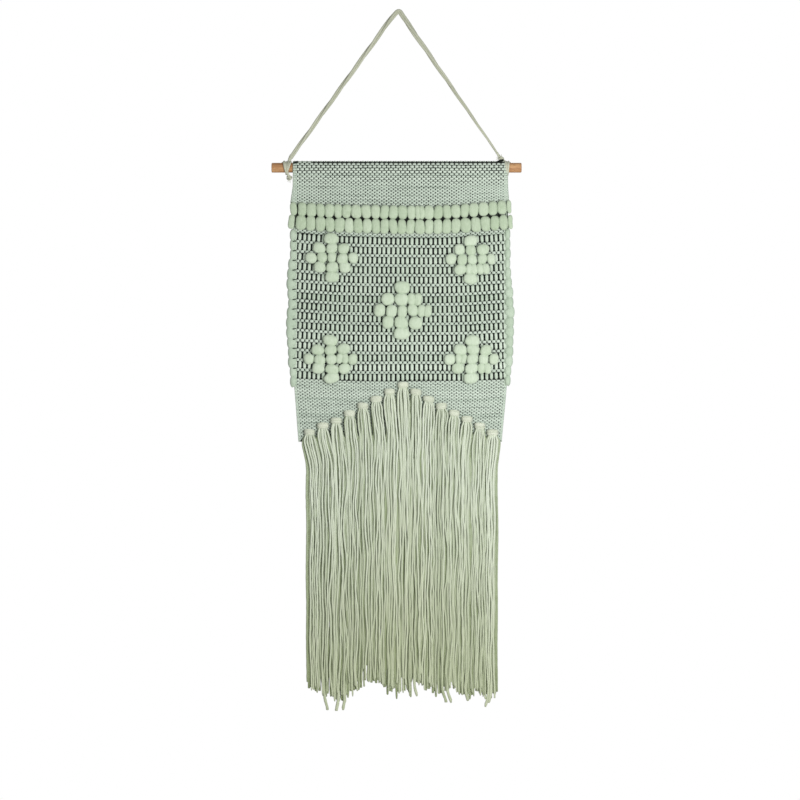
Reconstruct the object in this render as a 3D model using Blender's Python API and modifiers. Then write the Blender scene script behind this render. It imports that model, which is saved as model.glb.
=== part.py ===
"""A woven wall hanging: a wood dowel on a knotted cord, a cloth woven round the dowel, roving and tassels.

Metres, +Z up. The front faces -Y and the wall is at +Y. The origin is the point where a nail carries the
hanging cord. Every other height follows from the cord's left end down to the dowel, and from there down.
"""

import math

import bmesh
import bpy
from mathutils import Matrix, Vector

GAP = 0.0003  # between pieces that touch

# Hanging cord. Its centre line runs from the left hitch over the nail to the right knot.
CORD_DIA = 0.005
CORD_ROUTE = [
    (-0.1429, 0.0, -0.1885), (-0.1224, 0.0, -0.1601), (-0.1020, 0.0, -0.1318), (-0.0816, 0.0, -0.1035),
    (-0.0612, 0.0, -0.0752), (-0.0408, 0.0, -0.0470), (-0.0231, 0.0, -0.0225), (-0.0136, 0.0, -0.0093),
    (-0.0080, 0.0, -0.0022), (-0.0054, 0.0, 0.0006), (-0.0034, 0.0, 0.0021), (-0.0012, 0.0, 0.0025),
    (0.0006, 0.0, 0.0013), (0.0024, 0.0, -0.0018), (0.0072, 0.0, -0.0092), (0.0162, 0.0, -0.0223),
    (0.0330, 0.0, -0.0465), (0.0522, 0.0, -0.0744), (0.0716, 0.0, -0.1024), (0.0908, 0.0, -0.1303),
    (0.1102, 0.0, -0.1583), (0.1275, 0.0, -0.1834),
]
CORD_STEPS = 3  # tube points between two points of the route
CORD_END_CLEAR = 0.0018  # room for the slanted end face above the hitch
HITCH_WIDTH = 0.0102
HITCH_WALL = 0.0045
KNOT_SIZE = (0.0072, 0.0074, 0.0060)

# Dowel
DOWEL_DIA = 0.0127
DOWEL_LEFT = 0.1675
DOWEL_RIGHT = 0.1585
DOWEL_CHAMFER = 0.0012

# Ground cloth: half widths from its middle line, and heights of its bands from the dowel's axis down
CLOTH_THICK = 0.0042
CLOTH_MID_Y = -0.0009
SLEEVE_WALL = 0.0017
SLEEVE_CLEAR = 0.0003
SEAM_DROP = 0.0260
SEAM_DIA = 0.0012
TOP_LEFT, TOP_RIGHT = 0.1390, 0.1355
BAND_LEFT, BAND_RIGHT = 0.1435, 0.1417
BODY_LEFT, BODY_RIGHT = 0.1340, 0.1365
HEM_LEFT, HEM_RIGHT = 0.1380, 0.1400
HEM_HALF = 0.1326
TOP_BAND = 0.0481
UPPER_ROW = 0.0176
LOWER_ROW = 0.0201
BODY = 0.1950
LOWER_BAND = 0.0767

# Roving
ROVING_STAND = 0.0085
UPPER_ROW_ENDS = (-0.1330, 0.1440)
LOWER_ROW_ENDS = (-0.1460, 0.1475)
BODY_ROWS = 15
SELVEDGE_LEFT_WIDTH = 0.0130
SELVEDGE_RIGHT_WIDTH = 0.0150
SELVEDGE_THICK = 0.0110
SELVEDGE_BULGE = 0.0022
DIAMOND_ROWS = (1, 3, 5, 3, 1)
DIAMONDS = {  # centre x, drop below the top of the patterned body, width and height of one loop
    "diamond_upper_left": (-0.0885, 0.0316, 0.0138, 0.0124),
    "diamond_upper_right": (0.0923, 0.0340, 0.0130, 0.0125),
    "diamond_centre": (0.0026, 0.1010, 0.0150, 0.0150),
    "diamond_lower_left": (-0.0897, 0.1640, 0.0142, 0.0124),
    "diamond_lower_right": (0.0936, 0.1640, 0.0144, 0.0124),
}

# Tassels, in an upside-down V whose middle knot is the highest
TASSELS = 15
V_TOP_X = 0.0039
V_TOP_DROP = 0.0014  # from the patterned body's end to the middle knot
V_STEP = 0.0089
LEFT_PITCH, RIGHT_PITCH = 0.0174, 0.0165
HEAD_WIDTH = 0.0125
HEAD_HEIGHT = 0.0066
HEAD_THICK = 0.0075
STRAND_THICK = 0.0070
STRAND_TOP_WIDTH = 0.0105
STRAND_FORWARD = 0.0004  # the hank hangs this far in front of its pivot
FRINGE_HANG = 0.3335  # from the cloth's end to the ends of the yarn
FLARE = 0.0350
HANK_SIDE_GAP = 0.0006
PIVOT_ROOM = 0.0042  # from the knot down to the pivot
HANK_ROUND = 0.0025

HITCH_RADIUS = DOWEL_DIA / 2 + GAP + HITCH_WALL
DOWEL_Z = CORD_ROUTE[0][2] - CORD_END_CLEAR - HITCH_RADIUS
CLOTH_FRONT = CLOTH_MID_Y - CLOTH_THICK / 2
CLOTH_BACK = CLOTH_MID_Y + CLOTH_THICK / 2
BORE_RADIUS = DOWEL_DIA / 2 + SLEEVE_CLEAR
SLEEVE_RADIUS = BORE_RADIUS + SLEEVE_WALL
ROW_TOP = DOWEL_Z - TOP_BAND
ROW_SPLIT = ROW_TOP - UPPER_ROW
BODY_TOP = ROW_SPLIT - LOWER_ROW
BODY_END = BODY_TOP - BODY
CLOTH_END = BODY_END - LOWER_BAND

TO_FRONT = Matrix.Rotation(math.radians(90), 4, "X")  # a flat outline's y becomes z
TO_SIDE = Matrix(((0, 0, 1, 0), (1, 0, 0, 0), (0, 1, 0, 0), (0, 0, 0, 1)))  # its x, y become y, z


def clear_scene():
    for obj in list(bpy.data.objects):
        bpy.data.objects.remove(obj, do_unlink=True)


def collection(name):
    made = bpy.data.collections.new(name)
    bpy.context.scene.collection.children.link(made)
    return made


def material(name, colour, roughness):
    made = bpy.data.materials.new(name)
    made.use_nodes = True
    shader = made.node_tree.nodes["Principled BSDF"]
    shader.inputs["Base Color"].default_value = (*colour, 1.0)
    shader.inputs["Roughness"].default_value = roughness
    shader.inputs["Metallic"].default_value = 0.0
    return made


clear_scene()
PARTS = collection("wall_hanging")
CUTTERS = collection("cutters")
WOOD = material("dowel_wood", (0.56, 0.33, 0.15), 0.55)
CORD = material("cord_yarn", (0.42, 0.46, 0.36), 0.9)
WEAVE = material("ground_weave", (0.46, 0.52, 0.44), 0.95)
ROVING = material("roving", (0.47, 0.56, 0.42), 0.95)
TASSEL = material("tassel_yarn", (0.55, 0.60, 0.46), 0.95)
THREAD = material("sewing_thread", (0.30, 0.34, 0.28), 0.9)


def place(name, data, finish, matrix=None, into=PARTS):
    made = bpy.data.objects.new(name, data)
    if not data.materials:
        data.materials.append(finish)
    made.matrix_world = matrix or Matrix()
    into.objects.link(made)
    return made


def smooth(mesh, degrees=40):
    mesh.shade_smooth()
    mesh.set_sharp_from_angle(angle=math.radians(degrees))


def box_mesh(name, size):
    bm = bmesh.new()
    bmesh.ops.create_cube(bm, size=1.0, matrix=Matrix.Diagonal((*size, 1.0)))
    mesh = bpy.data.meshes.new(name)
    bm.to_mesh(mesh)
    bm.free()
    return mesh


def rounded(obj, width, segments=2):
    bevel = obj.modifiers.new("rounding", "BEVEL")
    bevel.width = width
    bevel.segments = segments
    bevel.limit_method = "ANGLE"
    return obj


def cord_curve(name, points, diameter, finish):
    """A round cord along points, with closed ends."""
    curve = bpy.data.curves.new(name, "CURVE")
    curve.dimensions = "3D"
    curve.bevel_depth = diameter / 2
    curve.bevel_resolution = 2
    curve.use_fill_caps = True
    spline = curve.splines.new("POLY")
    spline.points.add(len(points) - 1)
    for point, place_ in zip(spline.points, points):
        point.co = (*place_, 1.0)
    return place(name, curve, finish)


def through(points, steps):
    """A smooth curve through points, as Catmull and Rom draw it."""
    route = [Vector(p) for p in points]
    ends = [2 * route[0] - route[1], *route, 2 * route[-1] - route[-2]]
    smooth_points = []
    for a, b, c, d in zip(ends, ends[1:], ends[2:], ends[3:]):
        for step in range(steps):
            t = step / steps
            smooth_points.append(
                0.5 * (2 * b + (c - a) * t + (2 * a - 5 * b + 4 * c - d) * t**2 + (3 * b - a - 3 * c + d) * t**3)
            )
    return [*smooth_points, route[-1]]


def flat_outline(name, loops, thickness, finish, matrix, into=PARTS):
    """A filled flat outline, given as loops of (x, y) points, with half its thickness on either side."""
    curve = bpy.data.curves.new(name, "CURVE")
    curve.dimensions = "2D"
    curve.fill_mode = "BOTH"
    curve.extrude = thickness / 2
    for loop in loops:
        spline = curve.splines.new("POLY")
        spline.points.add(len(loop) - 1)
        for point, (x, y) in zip(spline.points, loop):
            point.co = (x, y, 0.0, 1.0)
        spline.use_cyclic_u = True
    return place(name, curve, finish, matrix, into)


def as_mesh(obj, finish):
    """The outline as a mesh object with closed caps, in the outline's place."""
    bpy.context.view_layer.update()
    graph = bpy.context.evaluated_depsgraph_get()
    mesh = bpy.data.meshes.new_from_object(obj.evaluated_get(graph))
    bm = bmesh.new()
    bm.from_mesh(mesh)
    bmesh.ops.remove_doubles(bm, verts=bm.verts, dist=1e-6)
    bm.to_mesh(mesh)
    bm.free()
    name, matrix, home = obj.name, obj.matrix_world.copy(), obj.users_collection[0]
    bpy.data.objects.remove(obj, do_unlink=True)
    return place(name, mesh, finish, matrix, home)


def arc(centre, radius, start, end, steps):
    """Points on a circle from start to end, in degrees counted from +x."""
    turns = [math.radians(start + (end - start) * i / steps) for i in range(steps + 1)]
    return [(centre[0] + radius * math.cos(t), centre[1] + radius * math.sin(t)) for t in turns]


def dowel():
    bm = bmesh.new()
    bmesh.ops.create_cone(
        bm, cap_ends=True, segments=32, radius1=DOWEL_DIA / 2, radius2=DOWEL_DIA / 2,
        depth=DOWEL_LEFT + DOWEL_RIGHT,
    )
    mesh = bpy.data.meshes.new("dowel")
    bm.to_mesh(mesh)
    bm.free()
    smooth(mesh)
    middle = Vector(((DOWEL_RIGHT - DOWEL_LEFT) / 2, 0.0, DOWEL_Z))
    obj = place("dowel", mesh, WOOD, Matrix.Translation(middle) @ Matrix.Rotation(math.radians(90), 4, "Y"))
    rounded(obj, DOWEL_CHAMFER, 1)


def hitch(name, middle_x):
    """Two turns of the cord round the dowel, as one ring."""
    bpy.ops.mesh.primitive_torus_add(
        major_segments=28, minor_segments=10, major_radius=HITCH_RADIUS - HITCH_WALL / 2,
        minor_radius=HITCH_WALL / 2,
    )
    made = bpy.context.active_object
    mesh = made.data
    bpy.data.objects.remove(made, do_unlink=True)
    mesh.transform(Matrix.Diagonal((1.0, 1.0, HITCH_WIDTH / HITCH_WALL, 1.0)))
    mesh.shade_smooth()
    turn = Matrix.Rotation(math.radians(90), 4, "Y")
    place(name, mesh, CORD, Matrix.Translation((middle_x, 0.0, DOWEL_Z)) @ turn)


def knot(name, middle):
    bm = bmesh.new()
    bmesh.ops.create_uvsphere(bm, u_segments=14, v_segments=8, radius=0.5, matrix=Matrix.Diagonal((*KNOT_SIZE, 1.0)))
    mesh = bpy.data.meshes.new(name)
    bm.to_mesh(mesh)
    bm.free()
    mesh.shade_smooth()
    place(name, mesh, CORD, Matrix.Translation(middle))


def hanging_cord():
    """The cord over the nail, its two hitches and the knots that end it."""
    cord_curve("hanging_cord", through(CORD_ROUTE, CORD_STEPS), CORD_DIA, CORD)
    left_x = CORD_ROUTE[0][0] - HITCH_WIDTH / 2
    right_x = TOP_RIGHT + 2 * GAP + HITCH_WIDTH / 2
    half_knot = KNOT_SIZE[2] / 2
    hitch("left_hitch", left_x)
    hitch("right_hitch", right_x)
    left_z = DOWEL_Z - HITCH_RADIUS - GAP - half_knot
    knot("left_knot", (left_x + KNOT_SIZE[0] / 2, CLOTH_BACK - KNOT_SIZE[1] / 2, left_z))
    knot("right_knot", (TOP_RIGHT - KNOT_SIZE[0] / 2, 0.0, DOWEL_Z + SLEEVE_RADIUS + GAP + half_knot))


def cloth_sides():
    """The cloth's outline from the front: both edges step in where roving turns round them."""
    over, seam = DOWEL_Z + 2 * SLEEVE_RADIUS, DOWEL_Z - SEAM_DROP
    right = [
        (TOP_RIGHT, over), (TOP_RIGHT, seam), (BAND_RIGHT, ROW_TOP), (BAND_RIGHT, BODY_TOP),
        (BODY_RIGHT, BODY_TOP), (BODY_RIGHT, BODY_END), (HEM_RIGHT, BODY_END), (HEM_HALF, CLOTH_END),
    ]
    left = [
        (-HEM_HALF, CLOTH_END), (-HEM_LEFT, BODY_END), (-BODY_LEFT, BODY_END), (-BODY_LEFT, BODY_TOP),
        (-BAND_LEFT, BODY_TOP), (-BAND_LEFT, ROW_TOP), (-TOP_LEFT, seam), (-TOP_LEFT, over),
    ]
    return [right + left]


def cloth():
    """One sheet: a sleeve round the dowel that closes at the seam, and the flat cloth below it."""
    neck = 35  # degrees below level where the sleeve leaves the circle
    neck_out, neck_drop = (SLEEVE_RADIUS * f(math.radians(neck)) for f in (math.cos, math.sin))
    below = CLOTH_END - 2 * SLEEVE_RADIUS  # the side outline cuts the sheet to its length
    section = [
        (CLOTH_BACK, below), (CLOTH_BACK, DOWEL_Z - SEAM_DROP),
        *arc((0.0, DOWEL_Z), SLEEVE_RADIUS, -neck, 180 + neck, 28),
        (CLOTH_FRONT, DOWEL_Z - SEAM_DROP), (CLOTH_FRONT, below),
    ]
    bore = arc((0.0, DOWEL_Z), BORE_RADIUS, 0, 360 - 360 / 32, 31)
    widest = 2 * max(BAND_LEFT, BAND_RIGHT, HEM_LEFT, HEM_RIGHT) + 0.02
    sheet = as_mesh(flat_outline("cloth", [section, bore], widest, WEAVE, TO_SIDE), WEAVE)
    sides = as_mesh(flat_outline("cloth_sides", cloth_sides(), 0.06, WEAVE, TO_FRONT, CUTTERS), WEAVE)
    sides.hide_render = True
    sides.display_type = "WIRE"
    cut = sheet.modifiers.new("side outline", "BOOLEAN")
    cut.operation = "INTERSECT"
    cut.object = sides
    slope = (neck_out - CLOTH_BACK) / (SEAM_DROP - neck_drop)  # the thread lies on the neck, clear of the flat back
    thread_y = CLOTH_BACK + slope * SEAM_DIA + (SEAM_DIA / 2 + GAP) * math.hypot(1, slope)
    thread_z, inset = DOWEL_Z - SEAM_DROP + SEAM_DIA, 2 * SEAM_DIA
    ends = [(inset - TOP_LEFT, thread_y, thread_z), (TOP_RIGHT - inset, thread_y, thread_z)]
    cord_curve("sleeve_seam", ends, SEAM_DIA, THREAD)


def roving_row(name, ends, top, height):
    size = (ends[1] - ends[0], ROVING_STAND, height - GAP)
    middle = ((ends[0] + ends[1]) / 2, CLOTH_FRONT - GAP - ROVING_STAND / 2, top - height / 2)
    mesh = box_mesh(name, size)
    smooth(mesh, 60)
    rounded(place(name, mesh, ROVING, Matrix.Translation(middle)), ROVING_STAND * 0.4)


def selvedge(name, side, inner, width):
    """Roving turns down one edge of the patterned body, one bulge for each thick weft."""
    top, end = BODY_TOP - GAP, BODY_END + GAP
    pitch = (top - end) / BODY_ROWS
    outer = []
    for row in range(BODY_ROWS):
        for share, bulge in ((0.08, 0.0), (0.3, 0.8), (0.5, 1.0), (0.7, 0.8), (0.92, 0.0)):
            x = inner + GAP + width - SELVEDGE_BULGE * (1 - bulge)
            outer.append((side * x, top - (row + share) * pitch))
    loop = [(side * (inner + GAP), top), *outer, (side * (inner + GAP), end)]
    obj = flat_outline(name, [loop], SELVEDGE_THICK, ROVING, Matrix.Translation((0, CLOTH_MID_Y, 0)) @ TO_FRONT)
    weld(obj)
    rounded(obj, SELVEDGE_THICK * 0.16, 1)


def weld(obj):
    join = obj.modifiers.new("caps", "WELD")
    join.merge_threshold = 1e-6


def diamond(name, middle_x, drop, loop_width, loop_height):
    """Rows of roving loops that widen and narrow again, as one stepped block."""
    middle_z = BODY_TOP - drop
    rows = len(DIAMOND_ROWS)
    right = []
    for row, loops in enumerate(DIAMOND_ROWS):
        x = middle_x + loops * loop_width / 2
        top = middle_z + (rows / 2 - row) * loop_height
        right += [(x, top), (x, top - loop_height)]
    left = [(2 * middle_x - x, z) for x, z in reversed(right)]
    thick = Matrix.Translation((0.0, CLOTH_FRONT - GAP - ROVING_STAND / 2, 0.0))
    obj = flat_outline(name, [right + left], ROVING_STAND, ROVING, thick @ TO_FRONT)
    weld(obj)
    rounded(obj, ROVING_STAND * 0.25)


def tassel_place(number):
    """The middle of a tassel's knot, seen from the front."""
    step = number - (TASSELS + 1) // 2
    pitch = LEFT_PITCH if step < 0 else RIGHT_PITCH
    return V_TOP_X + step * pitch, BODY_END - V_TOP_DROP - abs(step) * V_STEP


def tassel(number):
    """A lark's-head knot on the cloth's face, and the hank of yarn that hangs from it on its pivot."""
    x, z = tassel_place(number)
    y = CLOTH_FRONT - GAP - HEAD_THICK / 2
    head = box_mesh(f"tassel_head_{number:02d}", (HEAD_WIDTH, HEAD_THICK, HEAD_HEIGHT))
    smooth(head, 60)
    rounded(place(head.name, head, TASSEL, Matrix.Translation((x, y, z))), HEAD_HEIGHT * 0.35)
    pivot = z - HEAD_HEIGHT / 2 - PIVOT_ROOM
    top, end = pivot + HANK_ROUND + 0.0005, CLOTH_END - FRINGE_HANG
    width = min(LEFT_PITCH, RIGHT_PITCH) - HANK_SIDE_GAP
    bm = bmesh.new()
    bmesh.ops.create_cube(bm, size=1.0, matrix=Matrix.Diagonal((width, STRAND_THICK, top - end, 1.0)))
    geometry = [*bm.verts, *bm.edges, *bm.faces]
    flare_z = (top - end) / 2 - FLARE
    bmesh.ops.bisect_plane(bm, geom=geometry, plane_co=(0.0, 0.0, flare_z), plane_no=(0.0, 0.0, 1.0))
    for vert in bm.verts:
        if vert.co.z > flare_z + GAP:
            vert.co.x *= STRAND_TOP_WIDTH / width
    bmesh.ops.translate(bm, verts=bm.verts, vec=(0.0, 0.0, (end - top) / 2 + top - pivot))
    hank = bpy.data.meshes.new(f"tassel_{number:02d}")
    bm.to_mesh(hank)
    bm.free()
    hank.transform(Matrix.Translation((0.0, -STRAND_FORWARD, 0.0)))
    smooth(hank, 60)
    rounded(place(hank.name, hank, TASSEL, Matrix.Translation((x, y + STRAND_FORWARD, pivot))), HANK_ROUND)


def main():
    dowel()
    hanging_cord()
    cloth()
    roving_row("roving_row_upper", UPPER_ROW_ENDS, ROW_TOP, UPPER_ROW)
    roving_row("roving_row_lower", LOWER_ROW_ENDS, ROW_SPLIT, LOWER_ROW)
    selvedge("left_selvedge_roving", -1, BODY_LEFT, SELVEDGE_LEFT_WIDTH)
    selvedge("right_selvedge_roving", 1, BODY_RIGHT, SELVEDGE_RIGHT_WIDTH)
    for name, sizes in DIAMONDS.items():
        diamond(name, *sizes)
    for number in range(1, TASSELS + 1):
        tassel(number)


main()
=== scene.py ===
"""The looks of a woven wall hanging: every yarn of its cloth, its roving loops, tassels, cord and dowel.

Metres, +Z up, the front faces -Y. A place on the cloth is (x, s, out): s runs up the sheet from its lower
end, over the dowel and down the back, and out is the distance from the middle of the sheet towards its
outer face.
"""

import math

import bpy
import numpy as np
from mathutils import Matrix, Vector


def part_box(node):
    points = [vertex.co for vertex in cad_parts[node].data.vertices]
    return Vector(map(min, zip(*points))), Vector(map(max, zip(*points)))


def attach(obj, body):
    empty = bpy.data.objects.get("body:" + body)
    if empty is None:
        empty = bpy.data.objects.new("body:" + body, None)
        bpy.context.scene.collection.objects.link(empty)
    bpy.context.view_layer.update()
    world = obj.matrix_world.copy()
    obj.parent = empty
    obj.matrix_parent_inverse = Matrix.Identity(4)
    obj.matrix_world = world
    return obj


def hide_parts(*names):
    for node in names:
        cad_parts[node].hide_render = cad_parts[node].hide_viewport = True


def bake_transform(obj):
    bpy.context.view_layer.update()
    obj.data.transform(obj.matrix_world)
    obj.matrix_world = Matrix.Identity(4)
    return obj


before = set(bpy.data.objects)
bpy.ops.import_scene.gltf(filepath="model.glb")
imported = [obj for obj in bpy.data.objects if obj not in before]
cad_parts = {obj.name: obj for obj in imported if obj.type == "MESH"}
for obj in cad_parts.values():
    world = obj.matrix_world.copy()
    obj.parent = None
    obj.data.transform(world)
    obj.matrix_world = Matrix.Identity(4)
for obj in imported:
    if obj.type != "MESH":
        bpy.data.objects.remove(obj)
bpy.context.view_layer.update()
rng = np.random.default_rng(11)
TURN = 2 * math.pi  # a whole turn, or one whole wave

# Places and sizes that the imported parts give
DOWEL_LOW, DOWEL_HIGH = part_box("dowel")
CLOTH_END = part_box("cloth")[0].z
ROW_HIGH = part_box("roving_row_upper")[1]
ROW_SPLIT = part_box("roving_row_lower")[1].z
SELVEDGE_LOW, SELVEDGE_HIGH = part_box("left_selvedge_roving")
DOWEL_RADIUS = (DOWEL_HIGH.z - DOWEL_LOW.z) / 2
DOWEL_Z = (DOWEL_HIGH.z + DOWEL_LOW.z) / 2
BODY_TOP = SELVEDGE_HIGH.z
BODY_END = SELVEDGE_LOW.z
ROW_TOP = ROW_HIGH.z
CLOTH_FRONT = ROW_HIGH.y  # where roving and tassels meet the cloth

# Sheet
CLOTH_Y = -0.0009  # middle of the flat sheet
SEAM_Z = DOWEL_Z - 0.0260
SLEEVE_RADIUS = DOWEL_RADIUS + 0.00155
BACK_LAYER_Y = CLOTH_Y + 0.0029
TURN_OVER = 0.0070
CORE_HALF = 0.00012

# Warp: black yarns with a few pale ones down each edge
WARPS = 89
WARP_FROM, WARP_TO = -0.1335, 0.1345
EDGE_WARPS = 3
WARP_CROSSINGS = {  # by weft yarn: the warp's half width, its lift, and how far and how flat it lies across
    "lower": (0.00046, 0.00050, 0.42, 0.62),
    "thick": (0.00158, 0.00140, 0.78, 0.92),
    "thin": (0.00070, 0.00072, 0.42, 0.62),
    "upper": (0.00058, 0.00050, 0.42, 0.62),
    "sleeve": (0.00060, 0.00050, 0.42, 0.62),
    "fold": (0.00085, 0.00050, 0.42, 0.62),
}
WARP_HALF_DEEP = 0.00042

# Weft
WEFT_SIZES = {  # half height, half thickness, rise over a warp
    "lower": (0.00118, 0.00072, 0.00062),
    "thick": (0.00500, 0.00150, 0.00125),
    "thin": (0.00195, 0.00090, 0.00085),
    "upper": (0.00128, 0.00072, 0.00062),
}
PLAIN_PITCH = 0.00205
UPPER_PITCH = 0.0022
ROWS = 15  # of thick weft in the patterned body
ROW_PITCH = 0.01272
FIRST_ROW_DROP = 0.0088

# Hanging cord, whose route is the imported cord's
CORD_ROUTE = [
    (-0.1429, 0.0, -0.1885), (-0.1224, 0.0, -0.1601), (-0.1020, 0.0, -0.1318), (-0.0816, 0.0, -0.1035),
    (-0.0612, 0.0, -0.0752), (-0.0408, 0.0, -0.0470), (-0.0231, 0.0, -0.0225), (-0.0136, 0.0, -0.0093),
    (-0.0080, 0.0, -0.0022), (-0.0054, 0.0, 0.0006), (-0.0034, 0.0, 0.0021), (-0.0012, 0.0, 0.0025),
    (0.0006, 0.0, 0.0013), (0.0024, 0.0, -0.0018), (0.0072, 0.0, -0.0092), (0.0162, 0.0, -0.0223),
    (0.0330, 0.0, -0.0465), (0.0522, 0.0, -0.0744), (0.0716, 0.0, -0.1024), (0.0908, 0.0, -0.1303),
    (0.1102, 0.0, -0.1583), (0.1275, 0.0, -0.1834),
]

TASSELS = 15
DIAMONDS = ("upper_left", "upper_right", "centre", "lower_left", "lower_right")


# ---------------------------------------------------------------- materials

def linear(code):
    """An sRGB hex colour as linear RGBA."""
    parts = [int(code[i:i + 2], 16) / 255 for i in (1, 3, 5)]
    return (*(c / 12.92 if c <= 0.04045 else ((c + 0.055) / 1.055) ** 2.4 for c in parts), 1.0)


def repeats(length):
    """How often a pattern of this length in millimetres repeats in a metre."""
    return 1000 / length


def add(tree, kind, inputs=None, **settings):
    """Add one node. inputs maps a socket to its value, or to the output socket that feeds it."""
    made = tree.nodes.new("ShaderNode" + kind)
    for key, value in settings.items():
        setattr(made, key, value)
    for socket, value in (inputs or {}).items():
        if isinstance(value, bpy.types.NodeSocket):
            tree.links.new(value, made.inputs[socket])
        else:
            made.inputs[socket].default_value = value
    return made


def new_material(name):
    """A material with an emptied tree, and its Principled shader already joined to the output."""
    made = bpy.data.materials.new(name)
    made.use_nodes = True
    tree = made.node_tree
    tree.nodes.clear()
    shader = add(tree, "BsdfPrincipled")
    add(tree, "OutputMaterial", {"Surface": shader.outputs["BSDF"]})
    return made, tree, shader


def spun_yarn(
    name, light, shade, plies, lay, contrast=0.5, fibre=0.35, relief=0.0004, sheen=0.25, foot=None
):
    """Yarn twisted from plies: a slanting stripe for each ply, and fibres that run with it.

    lay is the length in which a ply goes once round. The yarn map holds turns round the yarn and metres
    along it. foot is the colour that it turns towards a third of a metre along, darker and yellower: painted
    shade for light that falls off lower down.
    """
    made, tree, shader = new_material(name)
    place = add(tree, "SeparateXYZ", {0: add(tree, "UVMap", uv_map="yarn").outputs["UV"]})
    tone = add(tree, "Attribute", attribute_name="tone").outputs["Fac"]
    along = add(tree, "Math", {0: place.outputs["Y"], 1: lay}, operation="DIVIDE").outputs[0]
    turns = add(tree, "Math", {0: place.outputs["X"], 1: along}, operation="ADD").outputs[0]
    phase = add(tree, "Math", {0: turns, 1: TURN * plies}, operation="MULTIPLY").outputs[0]
    stripe = add(tree, "Math", {0: phase}, operation="SINE").outputs[0]
    # Nine tufts of fibre lie round the yarn, 4 mm long, and each yarn has a part of the noise to itself
    around = add(tree, "Math", {0: turns, 1: 9.0}, operation="MULTIPLY").outputs[0]
    length = add(tree, "Math", {0: place.outputs["Y"], 1: repeats(4.0)}, operation="MULTIPLY").outputs[0]
    own = add(tree, "Math", {0: tone, 1: 91.0}, operation="MULTIPLY").outputs[0]
    where = add(tree, "CombineXYZ", {"X": around, "Y": length, "Z": own}).outputs[0]
    hair = add(
        tree, "TexNoise", {"Vector": where, "Scale": 1.0, "Detail": 4.0, "Roughness": 0.65}
    ).outputs["Fac"]
    # The ply stripe and the fibre tufts set the colour as well as the bump, so the low grooves between plies
    # and tufts are painted darker: painted shade, on top of each yarn's own random tone.
    ridged = add(tree, "Math", {0: stripe, 1: contrast * 0.5, 2: 0.5}, operation="MULTIPLY_ADD").outputs[0]
    haired = add(tree, "Math", {0: hair, 1: fibre * 2, 2: -fibre}, operation="MULTIPLY_ADD").outputs[0]
    toned = add(tree, "Math", {0: tone, 1: 0.7, 2: -0.35}, operation="MULTIPLY_ADD").outputs[0]
    both = add(tree, "Math", {0: ridged, 1: haired}, operation="ADD").outputs[0]
    mixed = add(tree, "Math", {0: both, 1: toned}, operation="ADD", use_clamp=True).outputs[0]
    colour = add(tree, "Mix", {0: mixed, 6: linear(shade), 7: linear(light)}, data_type="RGBA").outputs[2]
    # Painted shade: darker and yellower towards the lower end, standing in for light that falls off lower
    # down
    if foot:
        low = add(
            tree, "MapRange", {"Value": place.outputs["Y"], "From Min": 0.08, "From Max": 0.34}
        ).outputs[0]
        colour = add(
            tree, "Mix", {0: low, 6: colour, 7: linear(foot)}, data_type="RGBA", blend_type="MULTIPLY"
        ).outputs[2]
    bump = add(tree, "Bump", {"Height": both, "Strength": 0.8, "Distance": relief}).outputs[0]
    tree.links.new(colour, shader.inputs["Base Color"])
    tree.links.new(bump, shader.inputs["Normal"])
    shader.inputs["Roughness"].default_value = 0.92
    shader.inputs["Specular IOR Level"].default_value = 0.18
    shader.inputs["Sheen Weight"].default_value = sheen
    shader.inputs["Sheen Roughness"].default_value = 0.45
    return made


def carded_roving(name, light, shade):
    """Unspun wool: long fibres that lie side by side and part in shallow creases, with a soft matt bloom."""
    made, tree, shader = new_material(name)
    place = add(tree, "SeparateXYZ", {0: add(tree, "UVMap", uv_map="yarn").outputs["UV"]})
    tone = add(tree, "Attribute", attribute_name="tone").outputs["Fac"]
    # Forty-two creases round a loop, drawn coarser than wool fibres so that they show, each about 6 mm long
    own = add(tree, "Math", {0: tone, 1: 57.0}, operation="MULTIPLY").outputs[0]
    around = add(tree, "Math", {0: place.outputs["X"], 1: 42.0}, operation="MULTIPLY").outputs[0]
    along = add(tree, "Math", {0: place.outputs["Y"], 1: repeats(6.25)}, operation="MULTIPLY").outputs[0]
    fibre_place = add(tree, "CombineXYZ", {"X": around, "Y": along, "Z": own}).outputs[0]
    fibres = add(
        tree, "TexNoise", {"Vector": fibre_place, "Scale": 1.0, "Detail": 5.0, "Distortion": 0.6}
    ).outputs["Fac"]
    solid = add(tree, "TexCoord").outputs["Object"]
    clouds = add(tree, "TexNoise", {"Vector": solid, "Scale": repeats(4.35), "Detail": 3.0}).outputs["Fac"]
    # Creases and clouds set the colour as well as the bump: the low creases are painted darker, painted
    # shade, over the wool's own mottle
    soft = add(tree, "Math", {0: fibres, 1: 0.7, 2: -0.1}, operation="MULTIPLY_ADD").outputs[0]
    both = add(tree, "Math", {0: clouds, 1: 0.5, 2: soft}, operation="MULTIPLY_ADD").outputs[0]
    toned = add(tree, "Math", {0: tone, 1: 0.4, 2: -0.2}, operation="MULTIPLY_ADD").outputs[0]
    mixed = add(tree, "Math", {0: both, 1: toned}, operation="ADD", use_clamp=True).outputs[0]
    colour = add(tree, "Mix", {0: mixed, 6: linear(shade), 7: linear(light)}, data_type="RGBA").outputs[2]
    bump = add(tree, "Bump", {"Height": both, "Strength": 0.55, "Distance": 0.0006}).outputs[0]
    tree.links.new(colour, shader.inputs["Base Color"])
    tree.links.new(bump, shader.inputs["Normal"])
    shader.inputs["Roughness"].default_value = 0.95
    shader.inputs["Specular IOR Level"].default_value = 0.12
    shader.inputs["Sheen Weight"].default_value = 0.35
    shader.inputs["Sheen Roughness"].default_value = 0.5
    return made


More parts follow.
